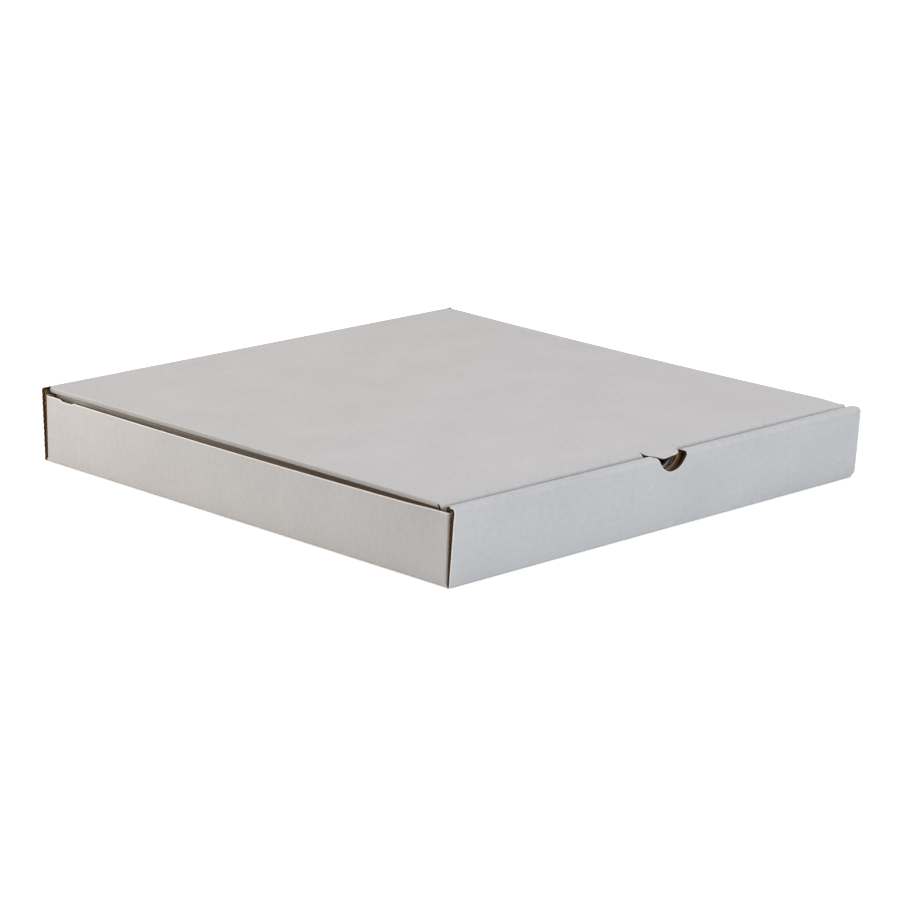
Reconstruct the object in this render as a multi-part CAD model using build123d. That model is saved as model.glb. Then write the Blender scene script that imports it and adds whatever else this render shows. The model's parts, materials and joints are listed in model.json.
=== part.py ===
from build123d import *
import math
import os

# A closed pizza box folded from one sheet of single-wall corrugated board.
# The frame is the box's own: X runs left to right along the front, the front is at -Y, +Z is up,
# and the origin is the middle of the underside of the base. All sizes are in millimetres.

# The board and its folds
board = 1.6               # thickness of the sheet
fold_radius = 1.3         # outside radius of a fold whose crease is crushed, so that it turns sharply
ply_gap = 0.25            # air between two plies that lie against each other

# The board's flutes run from side to side, and lie open at the raw edges that cross them
flute_pitch = 3.4
flute_depth = 2.0         # how deep a raw edge is open
flute_margin = 1.0        # closed board between the last flute and a fold or a corner
liner = 0.3
medium = 0.22             # the fluted sheet between the two liners
flute_shoulder = 0.7      # height of a flute's hollow half way to its end, as a share of its rise

# The tray
tray_width = 314.8        # across the side walls' feet, outside
tray_depth = 313.8        # from the foot of the front wall to the foot of the back wall, outside
side_height = 37.4        # raw top edge of the side walls
side_bow = 2.8            # the top of a side wall bulges outwards half way along
bow_margin = 2.0          # straight run of a side wall beside each upright fold
front_inset = 2.2         # raw ends of the base and the front wall, inside the side walls' faces
back_inset = 0.4          # raw ends of the back wall, inside the side walls' faces
corner_radius = 1.3       # outside radius of the upright fold into a corner flap
corner_flap_length = 72.0
corner_flap_cut = 9.0     # bevel of a corner flap's two free corners

# The front wall, rolled over the front corner flaps
front_height = 40.1
front_lean = 1.9          # the top of the front wall stands this far outside its foot
roll_width = 8.1          # front to back across the rolled top
roll_radius = 2.2         # outside radius of the two folds of the roll
inner_ply_clearance = 2.2 # each end of the inner ply, inside the side wall
lock_length = 40.0        # tabs under the inner ply that lock it in the base
lock_spacing = 150.0
lock_clearance = 0.2
lock_depth = 1.3          # how far a tab reaches into its slot

# The thumb notch, an oval hole cut across the roll
notch_half_width = 11.3
notch_drop = 8.9          # how far it reaches down each ply
thumb_x = 2.7             # the notch and the thumb tab stand a little to the right of the middle

# The back wall and the creased hinge of the lid
back_lean = 2.5
hinge_gap = 1.05          # from the crease's axis to the board on each side

# The lid
lid_top = 40.8
lid_width = 308.2         # fold to fold, outside the dust flaps
lid_front = 148.7         # from the middle of the box to the lid's front fold
lid_fold_radius = 2.2     # outside radius of the lid's front fold, which stays round
lid_side_radius = 2.0     # outside radius of its side folds
dust_flap_depth = 33.0
dust_flap_lean = 1.0      # a dust flap's lower edge leans in
dust_flap_slit = 2.5      # open corner between a dust flap and the tuck flap
dust_flap_rear_gap = 1.4  # from the end of a dust flap's fold to the back wall's foot
dust_flap_clearance = 0.5 # below its fold a dust flap steps clear of the rear corner flap
dust_flap_taper_front = 7.0
dust_flap_taper_rear = 10.0
dust_flap_corner = 8.0
tuck_flap_inset = 1.25    # each end of the tuck flap, inside the dust flaps' faces
tuck_flap_depth = 30.0
tuck_flap_lean = 1.0
tuck_flap_taper = 5.0
tuck_flap_corner = 8.0

# The thumb tab, which stays in the lid's plane when the tuck flap folds down
tab_radius = 11.2
tab_setback = 2.5         # the tab's centre lies this far behind the lid's front fold
tab_kerf = 0.3            # knife cut between the tab and its hole

half_width = tray_width / 2
half_depth = tray_depth / 2
front_half = half_width - front_inset
back_half = half_width - back_inset
lid_half = lid_width / 2

# Corner flaps lie against the front and back walls, and the inner ply closes over the front pair.
flap_face = half_depth - board - ply_gap
inner_ply_foot = flap_face - board - ply_gap - board
roll_front = half_depth + front_lean
roll_back = roll_front - roll_width
side_fold_half = flap_face - corner_radius
side_wall_half = side_fold_half - bow_margin

# The lid turns about the middle of the board's thickness, above the back wall.
hinge_y = half_depth + back_lean - board / 2
hinge_z = lid_top - board / 2


def inner_corners(outside, inward):
    """Corners of the inner face, a board's thickness to the left (1) or right (-1) of the outer one."""
    points = [Vector(*point) for point in outside]
    runs = [(far - near).normalized() for near, far in zip(points, points[1:])]
    normals = [Vector(-run.Y, run.X) * inward for run in runs]
    corners = [points[0] + normals[0] * board]
    for point, before, after in zip(points[1:], normals, normals[1:]):
        corners.append(point + (before + after) * (board / (1 + before.dot(after))))
    corners.append(points[-1] + normals[-1] * board)
    return corners


def folded_strip(plane, outside, radii, inward):
    """Section of the sheet along a path of its outer face, thickened to the inside, with its folds."""
    inside = inner_corners(outside, inward)
    inside_radii = [max(radius - board, 0) for radius in radii]
    with BuildSketch(plane) as section:
        with BuildLine():
            FilletPolyline(*outside, radius=radii)
            FilletPolyline(*inside, radius=inside_radii)
            Line(outside[0], inside[0])
            Line(outside[-1], inside[-1])
        make_face()
    return section.sketch


def block(low, high):
    """A box between two opposite corners."""
    size = [top - bottom for bottom, top in zip(low, high)]
    return Pos(*low) * Box(*size, align=(Align.MIN, Align.MIN, Align.MIN))


def flutes(length, plane_at, depth_dir):
    """Cutters for the open flutes of a raw edge: humps on one liner and the other by turns.

    plane_at gives the plane on the edge at a distance from its middle: its x runs along the edge,
    and its y from the outer face of the board to the inner one.
    """
    foot = flute_pitch / 2 - medium
    rise = board - 2 * liner - medium
    shoulder = flute_shoulder * rise
    hump = [(-foot, 0), (-foot / 2, shoulder), (0, rise), (foot / 2, shoulder), (foot, 0)]
    count = math.floor((length - 2 * flute_margin - flute_pitch) / (flute_pitch / 2)) + 1
    cutters = []
    for index in range(count):
        plane = plane_at((index - (count - 1) / 2) * flute_pitch / 2)
        base, up = (liner, 1) if index % 2 else (board - liner, -1)
        corners = [plane.from_local_coords((along, base + up * height)) for along, height in hump]
        cutters.append(extrude(Face(Wire.make_polygon(corners)), flute_depth, dir=depth_dir))
    return cutters


def top_flutes(side):
    """The open flutes in the top edge of a side wall, which follow its bow."""
    bow_radius = (side_wall_half**2 + side_bow**2) / (2 * side_bow)

    def plane_at(along):
        bow = side_bow - bow_radius + math.sqrt(bow_radius**2 - along**2)
        face = Vector(side * (half_width + bow), along, side_height)
        return Plane(face, x_dir=(0, side, 0), z_dir=(0, 0, 1))

    return flutes(2 * side_wall_half, plane_at, (0, 0, -1))


def end_flutes(side, end_x, low, high):
    """The open flutes in a raw end of the run, between two points (y, z) of its outer face."""
    run = Vector(0, high[0] - low[0], high[1] - low[1])
    middle = Vector(side * end_x, (low[0] + high[0]) / 2, (low[1] + high[1]) / 2)
    z_dir = Vector(1, 0, 0)

    def plane_at(along):
        return Plane(middle + run.normalized() * along, x_dir=run, z_dir=z_dir)

    return flutes(run.length, plane_at, (-side, 0, 0))


def front_to_back():
    """Inner ply, roll, outer ply, base and back wall, folded in one run."""
    outside = [
        (-inner_ply_foot, board + ply_gap),
        (-roll_back, front_height),
        (-roll_front, front_height),
        (-half_depth, 0),
        (half_depth, 0),
        (half_depth + back_lean, hinge_z - hinge_gap),
    ]
    radii = [roll_radius, roll_radius, fold_radius, fold_radius]
    section = folded_strip(Plane.YZ, outside, radii, inward=1)
    strip = extrude(section, back_half, both=True)
    front_foot = (-half_depth, board)
    front_top = (-roll_front + front_lean * roll_radius / front_height, front_height - roll_radius)
    back_foot = (half_depth, board)
    back_top = (half_depth + back_lean, hinge_z - hinge_gap)
    for side in (-1, 1):
        strip = strip - front_trim(side)
        strip = strip - end_flutes(side, front_half, front_top, front_foot)
        strip = strip - end_flutes(side, back_half, back_foot, back_top)
    return strip


def front_trim(side):
    """What is cut off an end of the strip in front of the back wall."""
    near = min(side * front_half, side * half_width)
    far = max(side * front_half, side * half_width)
    return block((near, -tray_depth, -board), (far, half_depth - board, front_height + board))


def inner_ply_trim(side):
    """What is cut off an end of the inner ply and half the roll, which drop between the side walls."""
    inner_end = half_width - board - inner_ply_clearance
    near = min(side * inner_end, side * half_width)
    far = max(side * inner_end, side * half_width)
    roll_middle = -(roll_front + roll_back) / 2
    return block((near, roll_middle, board + ply_gap / 2), (far, -roll_back + board, front_height + board))


def lock_tab(x):
    """A tab under the inner ply, standing in its slot in the base."""
    low = (x - lock_length / 2, -inner_ply_foot - board, board - lock_depth)
    high = (x + lock_length / 2, -inner_ply_foot, board + 2 * ply_gap)
    return block(low, high)


def lock_slot(x):
    """The slot in the base for a lock tab."""
    reach = lock_length / 2 + lock_clearance
    low = (x - reach, -inner_ply_foot - board - lock_clearance, -board)
    high = (x + reach, -inner_ply_foot + lock_clearance, board + ply_gap / 2)
    return block(low, high)


def thumb_notch():
    """Cutter for the oval hole across the roll: its top, and a bite in each ply."""
    middle = -(roll_front + roll_back) / 2
    half_length = roll_width / 2 + notch_drop
    oval = Ellipse(notch_half_width, half_length)
    top = Pos(thumb_x, middle, front_height) * extrude(oval, roll_radius, both=True)
    axis_z = front_height + roll_width / 2
    bite = Pos(thumb_x, middle, axis_z) * Rot(90, 0, 0) * extrude(oval, roll_width, both=True)
    return top + bite


def side_foot(side):
    """The fold that turns the base up into a side wall, from corner to corner."""
    outside = [
        (side * (front_half - board), 0),
        (side * half_width, 0),
        (side * half_width, max(fold_radius, board) + ply_gap),
    ]
    section = folded_strip(Plane.XZ, outside, [fold_radius], inward=side)
    return extrude(section, flap_face, both=True)


def side_wall(side):
    """A side wall, straight at its foot and bowed at its raw top edge."""
    face = side * half_width
    back = side * (half_width - board)
    bow = side * side_bow
    end = side_wall_half
    with BuildPart() as wall:
        with BuildSketch(Plane.XY.offset(fold_radius)):
            with BuildLine():
                Polyline((face, -end), (face, end), (back, end), (back, -end), close=True)
            make_face()
        with BuildSketch(Plane.XY.offset(side_height)):
            with BuildLine():
                ThreePointArc((face, -end), (face + bow, 0), (face, end))
                Line((face, end), (back, end))
                ThreePointArc((back, end), (back + bow, 0), (back, -end))
                Line((back, -end), (face, -end))
            make_face()
        loft(ruled=True)
    return wall.part - top_flutes(side)


def corner_flap(side, end):
    """The upright fold at one end of a side wall and the flap that turns in from it."""
    outside = [
        (side * half_width, end * side_wall_half),
        (side * half_width, end * flap_face),
        (side * (half_width - corner_flap_length), end * flap_face),
    ]
    section = folded_strip(Plane.XY, outside, [corner_radius], inward=side * end)
    foot = board + ply_gap
    flap = Pos(0, 0, foot) * extrude(section, side_height - foot)
    free_corners = flap.edges().filter_by(Axis.Y).group_by(Axis.X)[0 if side > 0 else -1]
    return chamfer(free_corners, corner_flap_cut)


def tray():
    """Base, four walls and corner flaps, as one folded sheet."""
    sheet = front_to_back()
    for side in (-1, 1):
        sheet = sheet - inner_ply_trim(side)
        lock_x = side * lock_spacing / 2
        sheet = sheet - lock_slot(lock_x) + lock_tab(lock_x)
    sheet = sheet - thumb_notch()
    for side in (-1, 1):
        sheet = sheet + side_foot(side) + side_wall(side)
        for end in (-1, 1):
            sheet = sheet + corner_flap(side, end)
    return sheet


def flap_outline(plane, points, corners):
    """Outline of a flap with its free corners rounded, as a prism across the box."""
    with BuildSketch(plane) as outline:
        with BuildLine():
            FilletPolyline(*points, radius=corners)
            Line(points[-1], points[0])
        make_face()
    return extrude(outline.sketch, tray_width, both=True)


def lid_panel():
    """The flat top of the box."""
    flat = lid_half - lid_side_radius
    front = -lid_front + lid_fold_radius
    return block((-flat, front, lid_top - board), (flat, hinge_y - hinge_gap, lid_top))


def tuck_flap():
    """The lid's front fold and the flap that tucks behind the front wall."""
    outside = [
        (-lid_front + 2 * lid_fold_radius, lid_top),
        (-lid_front, lid_top),
        (-lid_front + tuck_flap_lean, lid_top - tuck_flap_depth),
    ]
    section = folded_strip(Plane.YZ, outside, [lid_fold_radius], inward=1)
    flap = extrude(section, lid_half, both=True)
    ends = lid_half - tuck_flap_inset
    foot = lid_top - tuck_flap_depth - board
    points = [
        (-ends, lid_top + board),
        (-ends + tuck_flap_taper, foot),
        (ends - tuck_flap_taper, foot),
        (ends, lid_top + board),
    ]
    return flap & flap_outline(Plane.XZ, points, [tuck_flap_corner, tuck_flap_corner])


def dust_flap(side):
    """A side fold of the lid and the flap that drops inside a side wall."""
    outside = [
        (side * (lid_half - 2 * lid_side_radius), lid_top),
        (side * lid_half, lid_top),
        (side * (lid_half - dust_flap_lean), lid_top - dust_flap_depth),
    ]
    section = folded_strip(Plane.XZ, outside, [lid_side_radius], inward=-side)
    flap = extrude(section, tray_depth, both=True)
    front = -lid_front + dust_flap_slit
    rear = half_depth - dust_flap_rear_gap
    neck = flap_face - board - dust_flap_clearance
    foot = lid_top - dust_flap_depth
    points = [
        (front, lid_top + board),
        (front + dust_flap_taper_front, foot),
        (neck - dust_flap_taper_rear, foot),
        (neck, side_height + dust_flap_clearance),
        (rear, lid_top),
        (rear, lid_top + board),
    ]
    corners = [dust_flap_corner, dust_flap_corner, 0, 0]
    return flap & flap_outline(Plane.YZ, points, corners)


def tab_hole():
    """Cutter for the hole that the thumb tab leaves in the front fold and the tuck flap."""
    radius = tab_radius + tab_kerf
    reach = lid_fold_radius + 2 * tuck_flap_lean
    middle = -lid_front + lid_fold_radius - reach / 2
    return Pos(thumb_x, middle, lid_top + tab_setback) * Rot(90, 0, 0) * Cylinder(radius, reach)


def thumb_tab():
    """The half-round tab that a thumb lifts."""
    disc = Pos(thumb_x, -lid_front + tab_setback, lid_top - board / 2) * Cylinder(tab_radius, board)
    back = -lid_front + tab_setback
    front_half = block((-lid_half, back - 2 * tab_radius, 0), (lid_half, back, lid_top))
    return disc & front_half


def lid():
    """Lid panel, dust flaps, tuck flap and thumb tab, as one folded sheet."""
    sheet = lid_panel() + tuck_flap() - tab_hole() + thumb_tab()
    for side in (-1, 1):
        sheet = sheet + dust_flap(side)
    return sheet


os.makedirs("parts", exist_ok=True)
export_step(tray(), "parts/tray.step")
export_step(lid(), "parts/lid.step")
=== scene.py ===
import json
import math
from collections import namedtuple

import bpy
import numpy as np
from mathutils import Matrix, Vector


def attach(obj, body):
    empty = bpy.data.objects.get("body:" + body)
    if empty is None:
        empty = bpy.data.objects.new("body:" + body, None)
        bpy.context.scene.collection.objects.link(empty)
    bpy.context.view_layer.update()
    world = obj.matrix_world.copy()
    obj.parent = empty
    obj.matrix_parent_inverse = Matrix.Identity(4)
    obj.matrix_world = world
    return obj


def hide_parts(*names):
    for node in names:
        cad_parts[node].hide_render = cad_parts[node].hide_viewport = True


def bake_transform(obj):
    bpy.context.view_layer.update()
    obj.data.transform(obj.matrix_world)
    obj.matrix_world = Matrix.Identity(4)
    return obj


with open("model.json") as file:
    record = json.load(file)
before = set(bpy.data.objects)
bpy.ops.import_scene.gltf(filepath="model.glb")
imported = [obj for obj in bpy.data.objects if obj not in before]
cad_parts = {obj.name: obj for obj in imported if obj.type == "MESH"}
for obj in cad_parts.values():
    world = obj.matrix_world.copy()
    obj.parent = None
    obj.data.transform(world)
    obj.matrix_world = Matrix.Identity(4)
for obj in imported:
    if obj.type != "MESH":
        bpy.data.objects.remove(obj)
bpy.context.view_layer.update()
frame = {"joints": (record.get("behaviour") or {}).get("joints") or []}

# A pizza box folded from one sheet of corrugated board, white outside and brown inside.
# Every sheet is laid out flat in its layers, cut, and then folded along its creases.
# Lengths are in millimetres until a piece is finished, and then it is brought to metres.
# A flat sheet lies with its outer face down at height 0, and its folds turn upwards.
# The flutes of the board run along X over the whole flat sheet.

metre = 0.001

board = {
    "thickness": 1.6,
    "outerLiner": 0.24,
    "innerLiner": 0.20,
    "medium": 0.14,
    "airGap": 0.015,
    "pitch": 3.39,              # one flute to the next
    "wavePoints": 10,           # points along one flute of the medium
    "linerPoints": 5,           # points along one flute at a frayed raw edge
    "foldSteps": 6,             # facets of a fold
    "foldMargin": 0.12,         # support line beside each fold
    "closest": 0.15,            # a filler line of a grid keeps this far from the fixed lines
    "arcStep": 10,              # degrees from line to line over a rounded corner
    "rawBand": 1.2,             # width of the faces along a raw end
    "fluteDepth": 6.0,          # how deep the flutes are modelled behind a raw edge
    "cutMargin": 3.0,           # and how far round a notch or a hole
    "cutStep": 1.0,             # step of a grid there
    "cutPoints": 160,           # points round the outline of a cut
    "cutDepth": 8.0,
    "sharpest": 0.04,           # inner radius of a crease that turns sharply
    "crushReach": 2.2,          # how far from such a crease the board is pressed thin
    "crushLines": (-1, -0.6, -0.3, 0.3, 0.6, 1),    # lines of a grid there, as shares of that reach
    "highlightRimWidth": 0.5,              # white rim beside a cut edge
    "drift": 0.8,               # width of a rim beside a cut edge painted lighter, partly the torn liner's white fibres and partly painted highlight
    "driftLength": 23.0,        # in waves of this length times two pi
    "smoothAngle": 35,          # degrees up to which facets are shaded smooth
}
foldSteps = board["foldSteps"]
pitch = board["pitch"]
linerStep = pitch / board["linerPoints"]
waveStep = pitch / board["wavePoints"]
onEdge = 1e-6                   # what counts as lying on an edge
pastLine = 1e-4                 # and as lying past the line of a fold
rng = np.random.default_rng(12)
foldMark = namedtuple("foldMark", "place width angle depth corner tangent")


def smoothStep(value):
    value = np.clip(value, 0, 1)
    return value * value * (3 - 2 * value)


def growth(value, start, length):
    # a smooth rise from 0 at a start to 1 a length further on
    return smoothStep((value - start) / length)


# Selecting, cutting and folding

def onlySelect(piece):
    bpy.ops.object.select_all(action="DESELECT")
    piece.select_set(True)
    bpy.context.view_layer.objects.active = piece


def places(piece):
    co = np.empty(len(piece.data.vertices) * 3)
    piece.data.vertices.foreach_get("co", co)
    return co.reshape(-1, 3)


def setPlaces(piece, co):
    piece.data.vertices.foreach_set("co", np.asarray(co, dtype=np.float32).ravel())
    piece.data.update()


def applyModifier(piece, kind, **settings):
    onlySelect(piece)
    modifier = piece.modifiers.new(kind.title(), kind)
    for name, value in settings.items():
        setattr(modifier, name, value)
    bpy.ops.object.modifier_apply(modifier=modifier.name)


def joined(pieces, name):
    onlySelect(pieces[0])
    for piece in pieces[1:]:
        piece.select_set(True)
    if len(pieces) > 1:
        bpy.ops.object.join()
    pieces[0].name = name
    pieces[0].data.name = name
    return pieces[0]


def pick(piece, vertices=None, faces=None):
    # leaves edit mode open with only these vertices or faces selected
    mesh = piece.data
    onlySelect(piece)
    bpy.context.tool_settings.mesh_select_mode = (vertices is not None, False, faces is not None)
    mesh.edges.foreach_set("select", np.zeros(len(mesh.edges), dtype=bool))
    nothing = np.zeros(len(mesh.polygons), dtype=bool)
    mesh.polygons.foreach_set("select", nothing if faces is None else faces)
    nothing = np.zeros(len(mesh.vertices), dtype=bool)
    mesh.vertices.foreach_set("select", nothing if vertices is None else vertices)
    bpy.ops.object.mode_set(mode="EDIT")


def onAllFaces(piece, operator, **settings):
    pick(piece, faces=np.ones(len(piece.data.polygons), dtype=bool))
    operator(**settings)
    bpy.ops.object.mode_set(mode="OBJECT")


def turn(piece, chosen, axis, pivot, angle):
    # with no window the operator turns the other way round
    pick(piece, vertices=chosen)
    bpy.ops.transform.rotate(value=-angle, orient_axis=axis, center_override=pivot)
    bpy.ops.object.mode_set(mode="OBJECT")


def faceCentres(piece):
    centres = np.empty(len(piece.data.polygons) * 3)
    piece.data.polygons.foreach_get("center", centres)
    return centres.reshape(-1, 3)


def cutAway(piece, keep):
    centres = faceCentres(piece)
    pick(piece, faces=~keep(centres[:, 0], centres[:, 1]))
    bpy.ops.mesh.delete(type="FACE")
    bpy.ops.object.mode_set(mode="OBJECT")


def unfold(path, radii):
    # lays a folded section out flat: each crease has its place and width along the flat sheet, its angle,
    # the thickness left in it, its corner's place along the folded path and the tangent there
    path = [Vector(point) for point in path]
    creases = []
    place = 0.0
    reached = 0.0
    run = 0.0
    for corner, radius in enumerate(radii, start=1):
        before = path[corner] - path[corner - 1]
        after = path[corner + 1] - path[corner]
        angle = before.angle(after)
        depth = min(radius, board["thickness"])
        bend = max(radius - board["thickness"], board["sharpest"])
        tangent = (depth + bend) * math.tan(angle / 2)
        place += before.length - reached - tangent
        run += before.length
        width = bend * angle
        creases.append(foldMark(place, width, angle, depth, run, tangent))
        place += width
        reached = tangent
    return creases, place + (path[-1] - path[-2]).length - reached


def bothPlaces(creases):
    # matching places along the flat sheet and along the folded path
    beyond = 1000.0
    flat, path = [-beyond], [-beyond]
    for mark in creases:
        flat += [mark.place, mark.place + mark.width]
        path += [mark.corner - mark.tangent, mark.corner + mark.tangent]
    return [*flat, flat[-1] + beyond], [*path, path[-1] + beyond]


def facetLine(mark, step):
    return mark.place + (step + 0.5) * mark.width / foldSteps


def foldLines(creases):
    lines = []
    for mark in creases:
        lines += [facetLine(mark, step) for step in range(foldSteps)]
        lines += [mark.place - board["foldMargin"], mark.place + mark.width + board["foldMargin"]]
        if mark.depth < board["thickness"]:
            lines += [mark.place + share * board["crushReach"] for share in board["crushLines"]]
    return lines


def crush(piece, flat, axis, side, creases):
    # the board is pressed thin along a crease that turns sharply
    along = flat[:, 1 if axis == "X" else 0] * side
    co = places(piece)
    for mark in creases:
        away = smoothStep(np.abs(along - mark.place - mark.width / 2) / board["crushReach"])
        co[:, 2] *= 1 - (1 - mark.depth / board["thickness"]) * (1 - away)
    setPlaces(piece, co)


def fold(piece, flat, axis, side, creases):
    # the fold that lies furthest out turns first, while the rest is still flat
    along = flat[:, 1 if axis == "X" else 0] * side
    sense = side if axis == "X" else -side
    for mark in reversed(creases):
        for step in reversed(range(foldSteps)):
            line = facetLine(mark, step)
            pivot = (0, side * line, mark.depth)
            if axis == "Y":
                pivot = (side * line, 0, mark.depth)
            turn(piece, along > line + pastLine, axis, pivot, sense * mark.angle / foldSteps)


def evenLines(start, end, step):
    return np.linspace(start, end, max(1, math.ceil(abs(end - start) / step)) + 1)


def gridLines(fixed, filler=()):
    # fixed lines stay where they are, and a filler line gives way to one that is close
    fixed = np.unique(np.round(fixed, 4))
    spare = [line for line in filler if np.abs(fixed - line).min() > board["closest"]]
    spare = [line for line in spare if fixed[0] < line < fixed[-1]]
    return np.sort(np.concatenate([fixed, spare]))


def cornerLines(end, radius):
    # lines across the rounded corner at the end of a flap
    return [end - radius + radius * math.sin(math.radians(angle)) for angle in range(0, 90, board["arcStep"])]


def endLines(side, end, band=board["rawBand"]):
    # lines for the flutes that show in a raw end
    return np.sort([side * end, side * (end - band), side * (end - board["fluteDepth"])])


def gridSheet(columns, rows):
    bpy.ops.object.select_all(action="DESELECT")
    bpy.ops.mesh.primitive_grid_add(x_subdivisions=len(columns) - 1, y_subdivisions=len(rows) - 1, size=2)
    sheet = bpy.context.object
    across, along = np.meshgrid(columns, rows)
    setPlaces(sheet, np.stack([across.ravel(), along.ravel(), np.zeros(across.size)], axis=1))
    return sheet


def outline(shape, material):
    # a prism over an outline, which is given all the way round by angle, as a cutter
    bpy.ops.object.select_all(action="DESELECT")
    bpy.ops.mesh.primitive_cylinder_add(vertices=board["cutPoints"], radius=1, depth=board["cutDepth"])
    cutter = bpy.context.object
    co = places(cutter)
    x, y = shape(np.arctan2(co[:, 1], co[:, 0]))
    setPlaces(cutter, np.stack([x, y, co[:, 2]], axis=1))
    cutter.data.materials.append(material)
    onAllFaces(cutter, bpy.ops.mesh.normals_make_consistent, inside=False)
    return cutter


def halfRound(radius, middle, place):
    # a half-round outline, with its straight edge through its centre

    def shape(angle):
        away = radius * np.maximum(np.sin(angle), 0)
        return middle + radius * np.cos(angle), place(away)

    return shape


def cutWith(piece, operation, cutter):
    applyModifier(piece, "BOOLEAN", operation=operation, object=cutter, solver="EXACT",
                  material_mode="TRANSFER")
    bpy.data.objects.remove(cutter)


# Materials

def newGroup(name, inputs, outputs):
    group = bpy.data.node_groups.new(name, "ShaderNodeTree")
    for socket, value in inputs.items():
        made = group.interface.new_socket(name=socket, in_out="INPUT", socket_type="NodeSocketFloat")
        made.default_value = value
    for socket in outputs:
        group.interface.new_socket(name=socket, in_out="OUTPUT", socket_type="NodeSocketFloat")
    return group, group.nodes.new("NodeGroupInput"), group.nodes.new("NodeGroupOutput")


def mathNode(tree, operation, *values):
    node = tree.nodes.new("ShaderNodeMath")
    node.operation = operation
    for socket, value in zip(node.inputs, values):
        if isinstance(value, (int, float)):
            socket.default_value = value
        else:
            tree.links.new(value, socket)
    return node.outputs[0]


def noiseAt(tree, place, stretch, detail, roughness):
    # noise on the flat sheet's own millimetres, stretched along its flutes
    mapping = tree.nodes.new("ShaderNodeMapping")
    mapping.inputs["Scale"].default_value = stretch
    tree.links.new(place, mapping.inputs["Vector"])
    noise = tree.nodes.new("ShaderNodeTexNoise")
    noise.inputs["Scale"].default_value = 1.0
    noise.inputs["Detail"].default_value = detail
    noise.inputs["Roughness"].default_value = roughness
    tree.links.new(mapping.outputs[0], noise.inputs["Vector"])
    return noise.outputs["Fac"]


paperNoise = {
    # stretch over the flat sheet, detail, roughness
    "Fibre": ((0.9, 2.4, 1.0), 4.0, 0.65),
    "Mottle": ((0.28, 0.36, 1.0), 3.0, 0.6),
    "Cloud": ((0.022, 0.03, 1.0), 2.0, 0.5),
}
paperRelief = {"Fibre": 0.6, "Mottle": 0.5}    # share of each noise in the paper's height


def makePaperGrain():
    # mottled tone and felted height of paper, and the washboard that the flutes press into it
    inputs = {"Fibre": 0.5, "Mottle": 0.5, "Cloud": 0.5, "Washboard": 0.1}
    group, given, result = newGroup("paperGrain", inputs, ["Tone", "Height"])
    flat = group.nodes.new("ShaderNodeAttribute")
    flat.attribute_name = "flatPlace"
    place = flat.outputs["Vector"]
    noises = {name: noiseAt(group, place, *settings) for name, settings in paperNoise.items()}
    tone = 0.5
    for name, noise in noises.items():
        part = mathNode(group, "MULTIPLY", mathNode(group, "SUBTRACT", noise, 0.5), given.outputs[name])
        tone = mathNode(group, "ADD", tone, part)
    group.links.new(tone, result.inputs["Tone"])
    split = group.nodes.new("ShaderNodeSeparateXYZ")
    group.links.new(place, split.inputs[0])
    wave = mathNode(group, "SINE", mathNode(group, "MULTIPLY", split.outputs["Y"], 2 * math.pi / pitch))
    height = mathNode(group, "MULTIPLY", wave, given.outputs["Washboard"])
    for name, share in paperRelief.items():
        height = mathNode(group, "ADD", height, mathNode(group, "MULTIPLY", noises[name], share))
    group.links.new(height, result.inputs["Height"])
    return group


paperGrain = makePaperGrain()


def colour(red, green, blue):
    # a colour written as the 0 to 255 values that a screen shows
    linear = []
    for value in (red, green, blue):
        share = value / 255
        linear.append(share / 12.92 if share <= 0.04045 else ((share + 0.055) / 1.055) ** 2.4)
    return (*linear, 1.0)


paperLook = {
    "specular": 0.3,
    "markMost": 0.9,            # the most that a mark covers the paper's own colour
    "markEase": 0.3,
}


def paper(name, dark, light, roughness, bump, marks=None, **grain):
    # marks gives a colour for each attribute of the mesh that says where the paper's own colour is painted
    # over, with a lighter rim or with painted shade
    material = bpy.data.materials.new(name)
    material.use_nodes = True
    tree = material.node_tree
    shader = tree.nodes["Principled BSDF"]
    shader.inputs["Roughness"].default_value = roughness
    shader.inputs["Specular IOR Level"].default_value = paperLook["specular"]
    texture = tree.nodes.new("ShaderNodeGroup")
    texture.node_tree = paperGrain
    for socket, value in grain.items():
        texture.inputs[socket].default_value = value
    ramp = tree.nodes.new("ShaderNodeValToRGB")
    ramp.color_ramp.elements[0].color = dark
    ramp.color_ramp.elements[1].color = light
    tree.links.new(texture.outputs["Tone"], ramp.inputs["Fac"])
    tint = ramp.outputs["Color"]
    for attribute, changed in (marks or {}).items():
        mark = tree.nodes.new("ShaderNodeAttribute")
        mark.attribute_name = attribute
        mix = tree.nodes.new("ShaderNodeMixRGB")
        mix.inputs["Color2"].default_value = changed
        limits = paperLook["markMost"], paperLook["markEase"]
        cover = mathNode(tree, "SMOOTH_MIN", mark.outputs["Fac"], *limits)
        tree.links.new(cover, mix.inputs["Fac"])
        tree.links.new(tint, mix.inputs["Color1"])
        tint = mix.outputs["Color"]
    tree.links.new(tint, shader.inputs["Base Color"])
    relief = tree.nodes.new("ShaderNodeBump")
    relief.inputs["Strength"].default_value = 1.0
    relief.inputs["Distance"].default_value = bump * metre
    tree.links.new(texture.outputs["Height"], relief.inputs["Height"])
    tree.links.new(relief.outputs["Normal"], shader.inputs["Normal"])
    return material


# the white liner's marks: a lighter rim by cut edges, partly the torn liner's white fibres and partly painted
# highlight, and a brown painted shade for the dark gap below the lid's side folds
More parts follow.
